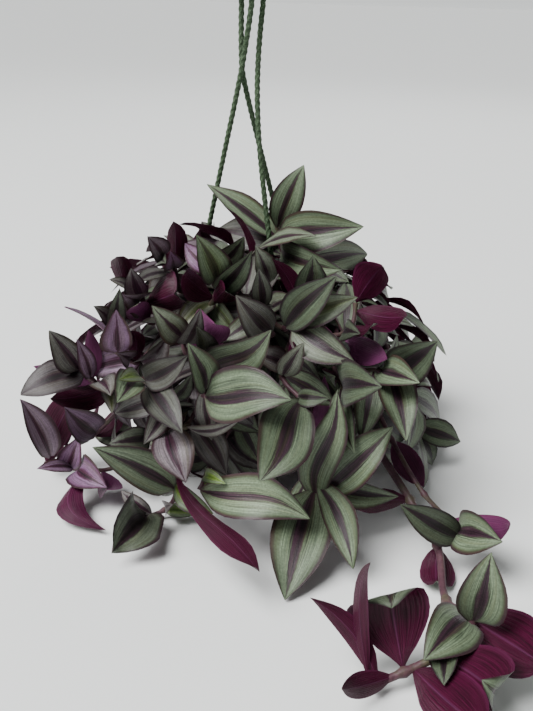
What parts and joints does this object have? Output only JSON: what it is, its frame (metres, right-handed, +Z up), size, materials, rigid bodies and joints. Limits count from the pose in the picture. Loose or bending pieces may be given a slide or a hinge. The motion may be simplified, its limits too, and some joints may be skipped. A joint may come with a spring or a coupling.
{
  "type": "potted tradescantia",
  "caption": "Trailing inch plant with striped, pointed leaves, spilling over a small round hanging pot on cords with a hook.",
  "frame": {"origin": "centre of the pot's base, on the surface that the pot stands on", "axes": "+Z up along the pot's axis; -Y is the front that the picture shows; +X to the viewer's right"},
  "size_m": [0.2685, 0.3944, 0.3024],
  "materials": {
    "pot": "satin",
    "soil": "matte",
    "leaf": "satin",
    "cord": "matte",
    "hanger": "satin"
  },
  "bodies": {
    "root": {"pot": "pot", "soil": "soil", "hanger": "hanger", "cord_left": "cord", "cord_back": "cord", "cord_front": "cord", "rim_knot_left": "cord", "rim_knot_back": "cord", "rim_knot_front": "cord", "top_knot_left": "cord", "top_knot_back": "cord", "top_knot_front": "cord", "stem_back_left": "leaf", "stem_centre": "leaf", "stem_centre_top": "leaf", "stem_crown": "leaf", "stem_far_left": "leaf", "stem_front_bud": "leaf", "stem_front_centre": "leaf", "stem_front_low": "leaf", "stem_front_right": "leaf", "stem_inner_1": "leaf", "stem_inner_2": "leaf", "stem_inner_3": "leaf", "stem_inner_4": "leaf", "stem_inner_5": "leaf", "stem_inner_6": "leaf", "stem_left_front": "leaf", "stem_left_low": "leaf", "stem_left_mid": "leaf", "stem_left_upper": "leaf", "stem_low_left": "leaf", "stem_mid_right": "leaf", "stem_mid_top": "leaf", "stem_peak_1": "leaf", "stem_peak_2": "leaf", "stem_right_mid": "leaf", "stem_right_rosette": "leaf", "stem_right_side": "leaf", "stem_right_trail": "leaf", "stem_right_upper": "leaf", "stem_rooting": "leaf", "stem_shoulder_1": "leaf", "stem_shoulder_2": "leaf", "stem_shoulder_3": "leaf", "stem_shoulder_4": "leaf", "stem_shoulder_5": "leaf", "stem_skirt_1": "leaf", "stem_skirt_2": "leaf", "stem_skirt_3": "leaf", "stem_skirt_4": "leaf", "stem_skirt_5": "leaf", "stem_skirt_6": "leaf", "stem_skirt_7": "leaf", "stem_top_1": "leaf", "stem_top_2": "leaf", "stem_top_3": "leaf", "stem_upper_left": "leaf"}
  },
  "joints": []
}
